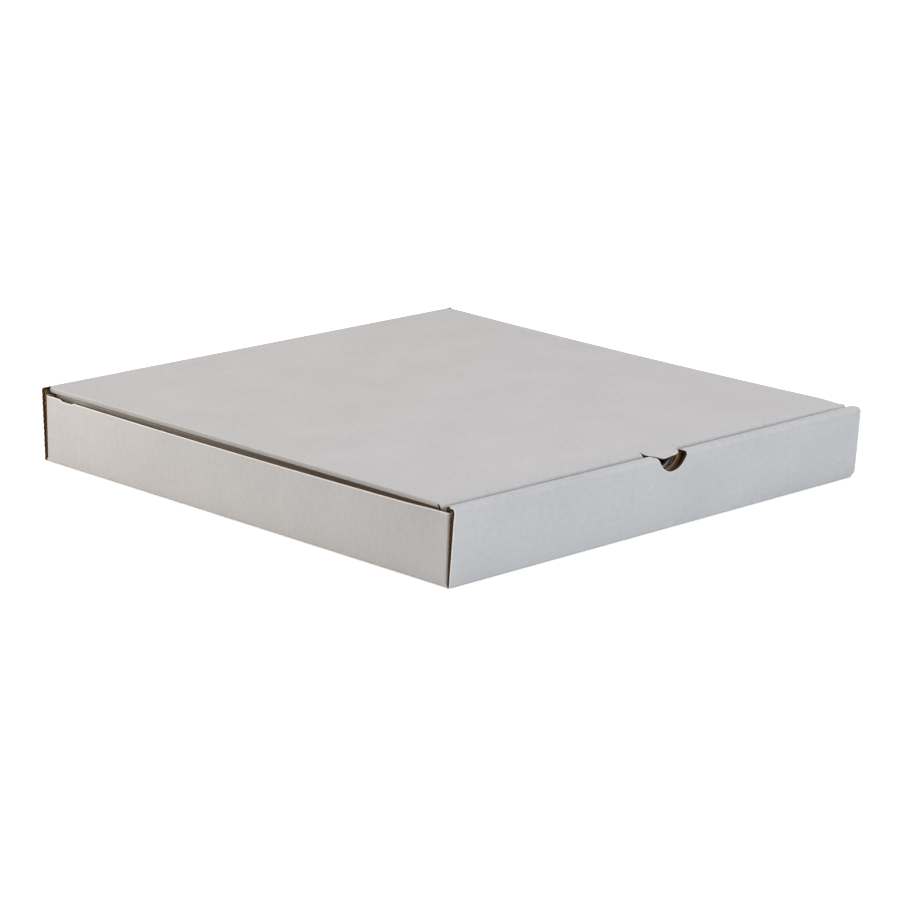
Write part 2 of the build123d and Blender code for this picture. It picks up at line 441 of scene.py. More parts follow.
whiteLiner = paper("whiteLiner", colour(186, 185, 186), colour(211, 210, 211), 0.72, 0.05,
                   {"nearCut": colour(240, 238, 234), "paintedShade": colour(104, 84, 68)},
                   Fibre=0.5, Mottle=0.7, Cloud=0.5, Washboard=0.12)
kraftLiner = paper("kraftLiner", colour(128, 98, 68), colour(168, 136, 100), 0.85, 0.06,
                   Fibre=1.6, Mottle=0.8, Cloud=0.8, Washboard=0.35)
kraftMedium = paper("kraftMedium", colour(66, 44, 27), colour(110, 80, 53), 0.9, 0.06,
                    Fibre=2.0, Mottle=1.0, Cloud=0.5, Washboard=0.0)
# kraft on the board's inner faces, darker than its own brown as painted shade for deep recesses such as the
# notch
kraftInsideShaded = paper("kraftInsideShaded", colour(60, 40, 26), colour(102, 76, 52), 0.9, 0.06,
                    Fibre=2.0, Mottle=1.0, Cloud=0.5, Washboard=0.0)
cutWhite = paper("cutWhite", colour(200, 194, 186), colour(238, 236, 232), 0.85, 0.05,
                 Fibre=2.0, Mottle=1.0, Cloud=0.2, Washboard=0.0)
cutKraft = paper("cutKraft", colour(80, 54, 34), colour(134, 99, 66), 0.9, 0.05,
                 Fibre=2.4, Mottle=1.4, Cloud=0.3, Washboard=0.0)

layerKinds = {
    "outer": [whiteLiner, kraftInsideShaded, cutWhite],
    "inner": [kraftLiner, kraftInsideShaded, cutKraft],
    "medium": [kraftMedium, kraftMedium, cutKraft],
}


def layer(kind, columns, rows, keep=None, shape=None, cuts=()):
    # one layer of the board over a flat outline
    sheet = gridSheet(columns, rows)
    if keep:
        cutAway(sheet, keep)
    co = places(sheet)
    if shape:
        co[:, 0], co[:, 1] = shape(kind, co[:, 0].copy(), co[:, 1].copy())
    thickness = board["outerLiner"]
    offset = -1.0
    if kind == "inner":
        thickness = board["innerLiner"]
        co[:, 2] = board["thickness"]
    if kind == "medium":
        thickness = board["medium"]
        offset = 0.0
        low = board["outerLiner"]
        high = board["thickness"] - board["innerLiner"]
        swing = (high - low - thickness) / 2 - board["airGap"]
        co[:, 2] = (low + high) / 2 + swing * np.cos(2 * math.pi * co[:, 1] / pitch)
    setPlaces(sheet, co)
    for material in layerKinds[kind]:
        sheet.data.materials.append(material)
    if kind == "outer":
        onAllFaces(sheet, bpy.ops.mesh.flip_normals)
    applyModifier(sheet, "SOLIDIFY", thickness=thickness, offset=offset, material_offset=1,
                  material_offset_rim=2)
    for operation, outlineShape in cuts:
        cutWith(sheet, operation, outline(outlineShape, layerKinds[kind][2]))
    return sheet


def keepFlat(sheet, fromCut=None, paintedShade=None):
    # each point keeps its place on the flat sheet, for the paper's grain, and where that is asked for, how
    # near it lies to a cut edge, for a rim painted lighter, and how much painted shade it takes
    flat = places(sheet)
    attribute = sheet.data.attributes.new("flatPlace", "FLOAT_VECTOR", "POINT")
    attribute.data.foreach_set("vector", flat.astype(np.float32).ravel())
    marks = {}
    if fromCut:
        marks["nearCut"] = 1 - fromCut(flat[:, 0], flat[:, 1]) / board["highlightRimWidth"]
    if paintedShade:
        marks["paintedShade"] = paintedShade(flat[:, 0], flat[:, 1])
    for name, values in marks.items():
        attribute = sheet.data.attributes.new(name, "FLOAT", "POINT")
        attribute.data.foreach_set("value", values.astype(np.float32))
    return flat


def finishMesh(piece):
    setPlaces(piece, places(piece) * metre)
    onlySelect(piece)
    bpy.ops.object.shade_smooth_by_angle(angle=math.radians(board["smoothAngle"]))


def finishPiece(piece, body, slot, *replaced):
    finishMesh(piece)
    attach(piece, body)
    if replaced:
        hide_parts(*replaced)


def fray(along, amount, regular):
    # how far a raw edge is torn back: a regular share in teeth at the flutes, and the rest by chance
    phase = 2 * math.pi * along / pitch + board["drift"] * np.sin(along / board["driftLength"])
    teeth = regular * (0.5 - 0.5 * np.cos(phase))
    return amount * (teeth + (1 - regular) * rng.random(len(along)))


# The tray's front wall, base and back wall, folded in one run

trayRun = {
    "halfWidth": 155.2,
    "backHalf": 157.0,
    "halfDepth": 156.9,
    "footRadius": 1.3,
    "footNear": 1.5,            # how far the front wall's foot stands out at the near corner
    "footFar": -1.6,            # and at the far one
    "twistFrom": (95.0, 55.0),  # the twist starts this far in front of the middle and grows over this length
    "nearSpread": (0.0, 2.7),   # the front wall's near end stands out sideways, at its top and foot
    "farSpread": (0.7, 2.2),    # and the far end
    "spreadFrom": (130.0, 25.0),
    "outerPly": (155.1, 0.4),   # only what lies further forward than this spreads
    "frontSplay": (0.0, 0.9),   # a wall's raw ends come apart low down and at the top by these,
    "backSplay": (0.5, 1.4),    # as shares of its thickness
    "splayEase": 3.0,           # they start to over this length
    "splayFade": 0.03,          # and stop over this share of the height
    "splayEnds": (0.5, 2.5),    # the front's do so from this far above its foot to this far below its roll,
    "splayPast": 1.0,           # and the back's up to its top edge, without stopping
    "farCorner": 3.3,           # the front wall's far corner is worn round at the foot
    "cornerReach": 8.0,
    "rollSag": 0.35,
    "sagFrom": (148.0, 1.5),
    "frontHeight": 40.1,
    "frontLean": 1.9,
    "rollWidth": 8.1,
    "rollRadius": 2.2,
    "innerPlyHalf": 153.6,
    "innerPlyFoot": (151.6, 1.85),    # from the middle, and above the floor
    "lockPlaces": (-75, 75),
    "lockHalf": 20.0,
    "lockReach": 1.55,
    "lockClearance": 0.2,
    "notchHalf": 11.6,
    "notchLength": 12.95,       # from the middle of the roll, down each ply
    "notchX": 3.2,
    "backLean": 2.5,
    "backTop": 38.95,
    "fray": 0.35,
    "teeth": 0.6,               # share of the fray that follows the flutes
    "coarse": 12.0,             # step of the grid where the sheet stays flat
    "coarseGap": 8.0,           # left between that grid and the finer one round the notch
    "waveOnBase": (3.0, 2.0),   # the flutes' lines start this far before the foot, at the front and the back
}


def sagRoll(piece):
    # the roll sags along its middle, and the ends of the front wall spread
    run = trayRun
    co = places(piece)
    middle = 1 - (co[:, 0] / run["halfWidth"]) ** 2
    atFront = growth(-co[:, 1], *run["sagFrom"])
    rise = np.clip(co[:, 2] / run["frontHeight"], 0, 1)
    co[:, 2] -= run["rollSag"] * middle * rise ** 2 * atFront
    outerPly = growth(-co[:, 1], *run["outerPly"])
    for sense, (top, low) in ((-1, run["nearSpread"]), (1, run["farSpread"])):
        atEnd = growth(sense * co[:, 0], *run["spreadFrom"]) * outerPly
        co[:, 0] += sense * atEnd * (low + (top - low) * rise)
    setPlaces(piece, co)


def splayEnds(piece, flat, end, low, high, splay):
    # a wall's raw ends come apart, from its foot up to its top or to the roll
    fade = trayRun["splayFade"]
    co = places(piece)
    up = (flat[:, 1] - low) / (high - low)
    share = np.clip(up * abs(high - low) / trayRun["splayEase"], 0, 1)
    share *= np.clip((1 + fade - up) / fade, 0, 1)
    atEnd = np.clip((np.abs(flat[:, 0]) - end) / board["rawBand"] + 1, 0, 1)
    co[:, 2] *= 1 + share * atEnd * (splay[0] + (splay[1] - splay[0]) * np.clip(up, 0, 1))
    setPlaces(piece, co)


def twistFoot(piece):
    # the front wall's foot is twisted, and the base and the side walls' ends follow it
    run = trayRun
    co = places(piece)
    toFar = (co[:, 0] + run["halfWidth"]) / (2 * run["halfWidth"])
    out = run["footNear"] + (run["footFar"] - run["footNear"]) * toFar
    share = np.clip(1 - co[:, 2] / run["frontHeight"], 0, 1) * growth(-co[:, 1], *run["twistFrom"])
    co[:, 1] -= out * share
    setPlaces(piece, co)


def makeTrayRun():
    run = trayRun
    front, frontEnd = unfold([
        (0, 0),
        (run["halfDepth"], 0),
        (run["halfDepth"] + run["frontLean"], run["frontHeight"]),
        (run["halfDepth"] + run["frontLean"] - run["rollWidth"], run["frontHeight"]),
        run["innerPlyFoot"],
    ], [run["footRadius"], run["rollRadius"], run["rollRadius"]])
    back, backEnd = unfold([
        (0, 0),
        (run["halfDepth"], 0),
        (run["halfDepth"] + run["backLean"], run["backTop"]),
    ], [run["footRadius"]])
    foot, roll, inner = front
    backFoot = back[0].place
    half = run["halfWidth"]
    backHalf = run["backHalf"]
    innerHalf = run["innerPlyHalf"]
    rollMiddle = (roll.place + roll.width + inner.place) / 2
    frontFoot = foot.place + foot.width / 2
    flatPlaces, pathPlaces = bothPlaces(front)
    notchMiddle = (roll.corner + inner.corner) / 2
    slotReach = run["lockHalf"] + run["lockClearance"]
    slotFront = run["innerPlyFoot"][0] + board["thickness"] + run["lockClearance"]
    slotBack = run["innerPlyFoot"][0] - run["lockClearance"]
    lockEnd = frontEnd + run["lockReach"]
    farTrim = inner.place - board["foldMargin"]    # the roll reaches further over at its far end

    def keep(x, y):
        fromLock = np.min([np.abs(x - place) for place in run["lockPlaces"]], axis=0)
        inside = (y > -np.where(x > 0, farTrim, rollMiddle)) | (np.abs(x) < innerHalf)
        inside &= (np.abs(x) < half) | (y > backFoot)
        aboveFoot = (y > -frontEnd) | (fromLock < run["lockHalf"])
        slot = (fromLock < slotReach) & (y > -slotFront) & (y < -slotBack)
        return inside & aboveFoot & ~slot

    def shape(kind, x, y):
        torn = np.zeros(len(x))
        for end, at in ((half, y < backFoot), (backHalf, y > 0), (innerHalf, y < -rollMiddle)):
            ends = (np.abs(np.abs(x) - end) < onEdge) & at
            torn[ends] = fray(y[ends], run["fray"], run["teeth"])
        rest = run["farCorner"] - np.clip(np.abs(y + frontFoot), 0, run["farCorner"])
        worn = run["farCorner"] - np.sqrt(run["farCorner"] ** 2 - rest ** 2)
        share = np.clip((x - half + run["cornerReach"]) / run["cornerReach"], 0, 1) * (y < 0)
        return x - np.sign(x) * torn - worn * share, y

    def shapeInner(kind, x, y):
        ends = np.abs(np.abs(x) - innerHalf) < onEdge
        x[ends] -= np.sign(x[ends]) * fray(y[ends], run["fray"], run["teeth"])
        return x, y

    lockLines = [place + side * reach for place in run["lockPlaces"]
                 for side in (-1, 1) for reach in (run["lockHalf"], slotReach)]
    ends = [end - inset for end in (half, innerHalf, backHalf) for inset in (0, board["rawBand"])]
    notchReach = run["notchHalf"] + board["cutMargin"]
    around = [run["notchX"] - notchReach, run["notchX"] + notchReach]
    coarse = run["coarse"]
    columns = gridLines([*ends, *[-end for end in ends], *lockLines],
                        [*evenLines(-half, around[0] - run["coarseGap"], coarse),
                         *evenLines(*around, board["cutStep"]),
                         *evenLines(around[1] + run["coarseGap"], half, coarse)])
    frontLines = [-line for line in foldLines(front)]
    fixedRows = [-lockEnd, -frontEnd, -slotFront, -slotBack, *frontLines, *foldLines(back), backEnd]
    rows = gridLines(fixedRows, [*evenLines(-lockEnd, -foot.place, linerStep),
                                 *evenLines(-foot.place, backFoot, coarse),
                                 *evenLines(backFoot, backEnd, linerStep)])

    def notchShape(angle):
        along = np.interp(notchMiddle + run["notchLength"] * np.sin(angle), pathPlaces, flatPlaces)
        return run["notchX"] + run["notchHalf"] * np.cos(angle), -along

    notchFront, notchBack = np.interp([notchMiddle - run["notchLength"], notchMiddle + run["notchLength"]],
                                      pathPlaces, flatPlaces)
    notch = ("DIFFERENCE", notchShape)
    pieces = [layer(kind, columns, rows, keep, shape, [notch]) for kind in ("outer", "inner")]

    # flutes behind the raw ends and round the notch
    frontWaveEnd = -foot.place + run["waveOnBase"][0]
    frontWave = [line for line in frontLines if line > -rollMiddle]
    frontWave = gridLines([*frontWave, -rollMiddle, frontWaveEnd],
                          evenLines(-rollMiddle, frontWaveEnd, waveStep))
    innerWave = [line for line in frontLines if line < -rollMiddle]
    innerWave = gridLines([*innerWave, -frontEnd, -rollMiddle], evenLines(-frontEnd, -rollMiddle, waveStep))
    backWave = gridLines([*foldLines(back), backEnd],
                         evenLines(backFoot - run["waveOnBase"][1], backEnd, waveStep))
    backWave = backWave[backWave > backFoot]
    for side in (-1, 1):
        pieces.append(layer("medium", endLines(side, half), frontWave, shape=shape))
        pieces.append(layer("medium", endLines(side, innerHalf), innerWave, shape=shapeInner))
        pieces.append(layer("medium", endLines(side, backHalf), backWave, shape=shape))
    low, high = -notchBack - board["cutMargin"], -notchFront + board["cutMargin"]
    notchRows = [line for line in frontLines if low < line < high]
    notchRows = gridLines([low, *notchRows, high], evenLines(low, high, waveStep))
    pieces.append(layer("medium", around, notchRows, cuts=[notch]))

    def fromCut(x, y):
        down = np.interp(-y, flatPlaces, pathPlaces) - notchMiddle
        across = x - run["notchX"]
        ring = np.hypot(across / run["notchHalf"], down / run["notchLength"])
        toNotch = (ring - 1) * np.hypot(across, down) / np.maximum(ring, onEdge)
        end = np.where(y > backFoot - board["foldMargin"] / 2, backHalf, half)
        return np.minimum(toNotch, end - 0.5 * run["fray"] - np.abs(x))

    piece = joined(pieces, "tray_run")
    flat = keepFlat(piece, fromCut)
    crush(piece, flat, "X", -1, front)
    crush(piece, flat, "X", 1, back)
    aboveFoot, belowRoll = run["splayEnds"]
    splayEnds(piece, flat, half, -frontFoot - aboveFoot, -roll.place + belowRoll, run["frontSplay"])
    splayEnds(piece, flat, backHalf, backFoot + back[0].width, backEnd + run["splayPast"], run["backSplay"])
    fold(piece, flat, "X", -1, front)
    fold(piece, flat, "X", 1, back)
    sagRoll(piece)
    twistFoot(piece)
    return piece


# The side walls, each with the fold at its foot and a corner flap at each end

sideWall = {
    "halfWidth": 157.4,
    "height": 37.4,
    "footRadius": 1.3,
    "seam": 154.4,              # where the base passes from the run to this piece
    "cornerRadius": 1.3,
    "flapFace": 155.05,         # outer face of a corner flap, from the middle
    "flapLength": 72.0,
    "flapCut": 9.0,
    "flapFoot": 1.85,
    "bow": 2.7,
    "bowMiddle": 20.0,          # the wall bulges most a little behind its middle
    "bowReach": 155.0,
    "straight": 150.75,         # beyond this the wall doesn't bow
    "frontLean": 1.1,           # the left wall's top leans in at the near corner
    "leanFrom": (125.0, 25.0),
    "rearShort": 0.9,           # the wall stops this far short of its rear flap's place
    "shortFrom": (138.0, 15.0),
    "lap": 0.01,                # the foot runs on from this far inside the corner flap's fold
    "tear": 0.9,
    "teeth": 0.4,               # share of the tear that follows the flutes, in the liners
    "mediumTeeth": 0.3,         # and in the medium
    "meanTear": 0.4,            # share of the tear at which the paper's edge counts as cut
    "standing": {"outer": 0.0, "medium": 0.3, "inner": 0.5},    # each layer stands up by this at the top
    "dent": (129.0, 142.0, 0.9),    # a worn place in the left wall's top edge, and its depth
    "dentEase": 3.0,
    "dentReach": 9.0,           # how far down the wall's lines give way to the dent
    "rawBand": 1.5,
    "coarse": 9.0,
}


def makeSideWall(side):
    wall = sideWall
    foot, wallEnd = unfold([(0, 0), (wall["halfWidth"], 0), (wall["halfWidth"], wall["height"])],
                           [wall["footRadius"]])
    corner, flapEnd = unfold([(0, 0), (wall["flapFace"], 0), (wall["flapFace"], wall["flapLength"])],
                             [wall["cornerRadius"]])
    wallFoot = foot[0].place + foot[0].width
    flapLow = wallFoot + wall["flapFoot"] - wall["footRadius"]
    flapStart = corner[0].place
    wallHalf = flapStart - wall["lap"]
    cut = wall["flapCut"]

    def keep(x, y):
        return (np.abs(y) < wallHalf) | (np.abs(x) > flapLow)

    def worn(y):
        start, end, deep = wall["dent"]
        ease = wall["dentEase"]
        return deep * smoothStep((y - start) / ease) * smoothStep((end - y) / ease) * (side < 0)

    def tearTop(kind, across, x, y, teeth):
        # the top edge is torn back, and some layers stand up a little further than others
        raw = (np.abs(np.abs(x) - wallEnd) < onEdge) & (np.abs(y) < flapEnd - cut)
        across[raw] -= fray(y[raw], wall["tear"], teeth) - wall["standing"][kind]

    def shape(kind, x, y):
        across = np.abs(x)
        trim = cut - np.clip(flapEnd - np.abs(y), 0, cut)
        share = (across - flapLow) / (wallEnd - flapLow)
        onFlap = (trim > 0) & (across >= flapLow - onEdge)
        across[onFlap] = (flapLow + trim + share * (wallEnd - flapLow - 2 * trim))[onFlap]
        tearTop(kind, across, x, y, wall["teeth"])
        across -= worn(y) * smoothStep((np.abs(x) - wallEnd + wall["dentReach"]) / wall["dentReach"])
        return np.sign(x) * across, y

    def shapeTop(kind, x, y):
        across = np.abs(x)
        across -= cut - np.clip(flapEnd - np.abs(y), 0, cut)
        tearTop(kind, across, x, y, wall["mediumTeeth"])
        across -= worn(y)
        return np.sign(x) * across, y

    def fromCut(x, y):
        return wallEnd - np.abs(x) - worn(y) - wall["meanTear"] * wall["tear"]

    flapLines = foldLines(corner)
    corners = [flapEnd, flapEnd - cut, flapEnd - cut / 2, *flapLines]
    rows = gridLines([*corners, *[-line for line in corners]],
                     [*evenLines(-flapStart, flapStart, linerStep), *evenLines(flapStart, flapEnd, pitch / 2),
                      *evenLines(-flapEnd, -flapStart, pitch / 2)])
    footLines = [line for line in foldLines(foot) if line > wall["seam"]]
    columns = gridLines([wall["seam"], *footLines, flapLow, wallEnd - wall["rawBand"], wallEnd],
                        evenLines(wallFoot, wallEnd, wall["coarse"]))
    pieces = [layer(kind, np.sort(side * columns), rows, keep, shape) for kind in ("outer", "inner")]
    corners = [flapEnd, flapEnd - cut, *flapLines]
    waveRows = gridLines([*corners, *[-line for line in corners]], evenLines(-flapEnd, flapEnd, waveStep))
    pieces.append(layer("medium", endLines(side, wallEnd, wall["rawBand"]), waveRows, shape=shapeTop))

    piece = joined(pieces, "wall_sheet")
    flat = keepFlat(piece, fromCut)
    for end in (-1, 1):
        crush(piece, flat, "X", end, corner)
    crush(piece, flat, "Y", side, foot)
    for end in (-1, 1):
        fold(piece, flat, "X", end, corner)
    fold(piece, flat, "Y", side, foot)
    footEnds = [makeFootEnd(side, end, foot, wallHalf) for end in (-1, 1)]
    piece = joined([piece, *footEnds], "side_wall_" + ("left" if side < 0 else "right"))
    bowWall(piece, side)
    twistFoot(piece)
    return piece


def makeFootEnd(side, end, foot, start):
    # the foot of the wall runs on under the corner flap
    wall = sideWall
    top = foot[0].place + foot[0].width + wall["flapFoot"] - wall["footRadius"]
    footLines = [line for line in foldLines(foot) if wall["seam"] < line < top]
    columns = np.sort(side * gridLines([wall["seam"], *footLines, top]))
    rows = np.sort([end * start, end * wall["flapFace"]])
    strip = joined([layer(kind, columns, rows) for kind in ("outer", "inner")], "foot_end")
    flat = keepFlat(strip)
    crush(strip, flat, "Y", side, foot)
    fold(strip, flat, "Y", side, foot)
    return strip


def bowWall(piece, side):
    # the top bulges outwards, the left wall's near corner leans in, and the rear end stands forward a little
    wall = sideWall
    co = places(piece)
    y = np.clip(co[:, 1], -wall["straight"], wall["straight"])
    out = wall["bow"] * (1 - ((y - wall["bowMiddle"]) / wall["bowReach"]) ** 2)
    if side < 0:
        out = out - wall["frontLean"] * growth(-y, *wall["leanFrom"])
    rise = np.clip((co[:, 2] - wall["footRadius"]) / (wall["height"] - wall["footRadius"]), 0, 1)
    co[:, 0] += side * out * rise
    co[:, 1] -= wall["rearShort"] * growth(co[:, 1], *wall["shortFrom"])
    setPlaces(piece, co)


# The lid, folded upside down and then turned over: its front is at +Y until then

lid = {
    "top": 40.8,
    "halfWidth": 154.1,
    "front": 148.7,
    "frontRadius": 2.2,
    "sideRadius": 0.7,
    "rear": 157.55,
    "rearHalf": 152.1,          # half the panel's width at its rear edge
    "seam": 149.0,              # where the panel passes into a dust flap's piece
    "dustDepth": 33.0,
    "dustLean": 1.0,
    "dustFront": 146.2,
    "dustRear": 155.5,
    "dustNeck": 152.95,         # end of the flap below the neck that clears the rear corner flap
    "dustTaperFront": 7.0,
    "dustTaperRear": 10.0,
    "dustCorner": 8.0,
    "tuckDepth": 30.0,
    "tuckLean": 1.0,
    "tuckHalf": 155.0,
    "tuckTaper": 5.0,
    "tuckCorner": 8.0,
    "taperBand": 20.0,          # a flap's taper is taken up over this width at each end
    "dustBand": 30.0,
    "neckFrom": (1.9, 0.8),     # how far below the fold the neck starts, and over what depth it narrows
    "shadeTop": (1.8, 0.4),     # how far below a side fold the brown painted shade of the gap starts, and its soft rim
    "shadeFoot": (5.2, 1.2),    # and where it ends
    "shadeRear": (-160.0, 260.0),    # it deepens from the rear to the front
    "shadeLeast": 0.1,
    "shadeLines": (0.9, 1.8, 2.2, 2.7, 3.2, 4.2, 5.2),    # lines of the grid over it
    "holeRadius": 12.7,
    "holeBand": 14.0,           # half the width of the finer grid round the hole
    "tabRadius": 11.9,
    "tabX": 2.7,
    "tabSetback": 2.5,
    "tabStep": 0.8,
    "tabMargin": 1.0,           # the sheet that the tab is cut from reaches this far past its arc
    "tabLap": 0.001,            # and this far behind its root
    "tabDrop": 0.45,            # the tab's tip lies this much lower than the panel,
    "tabTwist": 0.35,           # more so on the right,
    "tabRub": 1.0,              # and is bent down further where it rubs on the roll
    "rubPlace": -0.42,          # place and width of that, as shares of the tab's radius
    "rubWidth": 0.26,
    "dropEase": 1.1,
    "tabPinch": 0.75,           # share of the thickness taken off the tab's cut edge
    "pinchBand": 2.0,
    "pinchEase": 3.0,
    "flapStep": 1.2,            # a dust flap steps in below its fold
    "stepFrom": (2.7, 0.6),     # how far below the lid's top that starts, and over what depth
    "stepBand": 4.0,
    "sag": 1.1,
    "sagFrom": (30.0, 120.0),
    "cornerDip": 0.8,           # the panel's front corner on the right dips
    "dipRight": (138.0, 16.0),
    "dipFront": (130.0, 18.0),
    "tear": 0.3,
    "teeth": 0.5,
    "farOff": 9.0,              # distance from the cut that is given to points where none is near
    "coarse": 8.0,
    "flapCoarse": 5.0,
    "flapRows": 3,              # a dust flap's rows are this many times as far apart as other fine lines
    "flapMargin": 1.0,
}


def roundedInset(down, length, taper, radius):
    # how far a flap's end stands in from its root, at a distance down the flap
    below = np.clip(down - (length - radius), 0, radius)
    return taper * np.clip(down / length, 0, 1) + radius - np.sqrt(radius ** 2 - below ** 2)


def makeLid():
    sheet = lid
    front, frontEnd = unfold([
        (0, 0),
        (sheet["front"], 0),
        (sheet["front"] - sheet["tuckLean"], sheet["tuckDepth"]),
    ], [sheet["frontRadius"]])
    frontFold = front[0]
    frontStart = frontFold.place + frontFold.width
    tuckLength = frontEnd - frontStart
    tuckHalf = sheet["tuckHalf"]
    seam = sheet["seam"]
    root = sheet["front"] - sheet["tabSetback"]
    rim = sheet["tuckCorner"]

    def keepPanel(x, y):
        return (np.abs(x) < seam) | (y > sheet["dustFront"]) | (y < -sheet["dustRear"])

    def shapePanel(kind, x, y):
        inset = roundedInset(y - frontStart, tuckLength, sheet["tuckTaper"], rim)
        inset = np.where(y > frontStart, inset, 0)
        inner = seam - sheet["taperBand"]
        share = np.clip((np.abs(x) - inner) / (tuckHalf - inner), 0, 1)
        raw = (np.abs(np.abs(x) - tuckHalf) < onEdge) & (y > frontStart)
        torn = np.zeros(len(x))
        torn[raw] = fray(y[raw], sheet["tear"], sheet["teeth"])
        rear = (np.abs(x) > seam) & (y < 0)
        x = np.sign(x) * (np.abs(x) - share * inset - torn)
        narrow = (sheet["rearHalf"] - seam) / (tuckHalf - seam)
        x[rear] = np.sign(x[rear]) * (seam + (np.abs(x[rear]) - seam) * narrow)
        return x, y

    flatPlaces, pathPlaces = bothPlaces(front)

    def downFrom(away):
        # the hole's straight edge lies on the panel, and its arc on the tuck flap
        return np.interp(frontFold.corner + away - sheet["tabSetback"], pathPlaces, flatPlaces)

    holeRadius = sheet["holeRadius"]
    holeEnd = float(downFrom(holeRadius))
    hole = ("DIFFERENCE", halfRound(holeRadius, sheet["tabX"], downFrom))
    holeLines = evenLines(sheet["tabX"] - sheet["holeBand"], sheet["tabX"] + sheet["holeBand"],
                          board["cutStep"])
    sideLines = [tuckHalf, tuckHalf - board["rawBand"], seam, seam - sheet["taperBand"]]
    columns = gridLines([*sideLines, *[-line for line in sideLines], *holeLines],
                        evenLines(-seam, seam, sheet["coarse"]))
    frontLines = [*foldLines(front), *cornerLines(frontEnd, rim), frontEnd]
    rows = gridLines([-sheet["rear"], -sheet["dustRear"], sheet["dustFront"], root, *frontLines],
                     [*evenLines(-sheet["rear"], frontFold.place, sheet["coarse"]),
                      *evenLines(frontStart, frontEnd, linerStep)])
    pieces = [layer(kind, columns, rows, keepPanel, shapePanel, [hole]) for kind in ("outer", "inner")]
    waveRows = gridLines([sheet["dustFront"], *frontLines], evenLines(sheet["dustFront"], frontEnd, waveStep))
    for side in (-1, 1):
        pieces.append(layer("medium", endLines(side, tuckHalf), waveRows, shape=shapePanel))
    holeReach = holeRadius + board["cutMargin"]
    around = [sheet["tabX"] - holeReach, sheet["tabX"] + holeReach]
    holeRows = gridLines([root, *foldLines(front), holeEnd + board["cutMargin"]],
                         evenLines(root, holeEnd + board["cutMargin"], waveStep))
    pieces.append(layer("medium", around, holeRows, cuts=[hole]))

    def fromCut(x, y):
        away = np.interp(y, flatPlaces, pathPlaces) - frontFold.corner + sheet["tabSetback"]
        return np.where(away > 0, np.hypot(x - sheet["tabX"], away) - holeRadius, sheet["farOff"])

    panel = joined(pieces, "lid_panel")
    flat = keepFlat(panel, fromCut)
    fold(panel, flat, "X", 1, front)
    flaps = [makeDustFlap(side) for side in (-1, 1)]
    piece = joined([panel, *flaps, makeThumbTab(root)], "lid_sheet")
    turnOver(piece)
    sagLid(piece)
    return piece


def makeDustFlap(side):
    sheet = lid
    creases, end = unfold([
        (0, 0),
        (sheet["halfWidth"], 0),
        (sheet["halfWidth"] - sheet["dustLean"], sheet["dustDepth"]),
    ], [sheet["sideRadius"]])
    start = creases[0].place + creases[0].width
    length = end - start
    rim = sheet["dustCorner"]
    frontRoot = sheet["dustFront"]
    rearRoot = sheet["dustRear"]
    neck = rearRoot - sheet["dustNeck"]
    inner = frontRoot - sheet["dustBand"]

    def shape(kind, x, y):
        down = np.maximum(np.abs(x) - start, 0)
        frontInset = roundedInset(down, length, sheet["dustTaperFront"], rim)
        rearInset = roundedInset(down, length, sheet["dustTaperRear"], rim)
        rearInset += neck * growth(down, *sheet["neckFrom"])
        share = np.clip((np.abs(y) - inner) / (np.where(y > 0, frontRoot, rearRoot) - inner), 0, 1)
        y = y - np.sign(y) * share * np.where(y > 0, frontInset, rearInset)
        raw = np.abs(np.abs(x) - end) < onEdge
        x[raw] -= np.sign(x[raw]) * fray(y[raw], sheet["tear"], sheet["teeth"])
        return x, y

    def paintedShade(x, y):
        # the painted shade of the gap is deepest near the front
        down = np.abs(x) - start
        low, fade = sheet["shadeFoot"]
        toFront = sheet["shadeLeast"] + (1 - sheet["shadeLeast"]) * growth(y, *sheet["shadeRear"])
        return growth(down, *sheet["shadeTop"]) * smoothStep((low - down) / fade) * toFront

    shadeLines = [start + down for down in sheet["shadeLines"]]
    columns = gridLines([sheet["seam"], *foldLines(creases), *shadeLines, *cornerLines(end, rim),
                         end - board["rawBand"], end], evenLines(start, end, sheet["flapCoarse"]))
    rows = gridLines([-rearRoot, -rearRoot + sheet["flapMargin"], frontRoot - sheet["flapMargin"], frontRoot],
                     evenLines(-rearRoot, frontRoot, linerStep * sheet["flapRows"]))
    pieces = [layer(kind, np.sort(side * columns), rows, shape=shape) for kind in ("outer", "inner")]
    waveRows = gridLines([-rearRoot, frontRoot], evenLines(-rearRoot, frontRoot, waveStep))
    pieces.append(layer("medium", endLines(side, end), waveRows, shape=shape))
    flap = joined(pieces, "dust_flap")
    flat = keepFlat(flap, paintedShade=paintedShade)
    crush(flap, flat, "Y", side, creases)
    fold(flap, flat, "Y", side, creases)
    return flap


